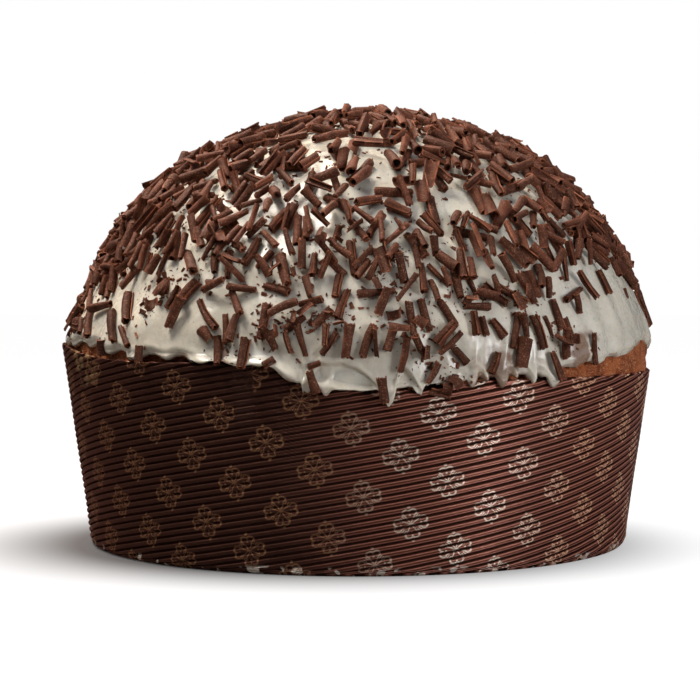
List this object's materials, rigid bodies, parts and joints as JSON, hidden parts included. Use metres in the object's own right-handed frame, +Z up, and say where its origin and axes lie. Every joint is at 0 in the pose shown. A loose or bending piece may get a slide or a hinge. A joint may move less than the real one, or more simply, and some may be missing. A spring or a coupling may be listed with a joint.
{
  "type": "panettone",
  "caption": "Low domed panettone with white glaze and chocolate curls, in a flared case of fluted brown paper printed with small flowers.",
  "frame": {"origin": "centre of the paper case's flat underside", "axes": "+Z up, out of the dome; -Y towards the shown front; +X to the right as seen from the front"},
  "size_m": [0.2118, 0.2115, 0.1544],
  "materials": {
    "paper": "satin brown paper, fluted, printed with thin golden flowers",
    "bread": "matte browned crust",
    "glaze": "half-gloss cream-white glaze with brown chocolate curls"
  },
  "bodies": {
    "root": {"paper_case": "paper", "loaf": "bread", "glaze": "glaze"}
  },
  "joints": []
}
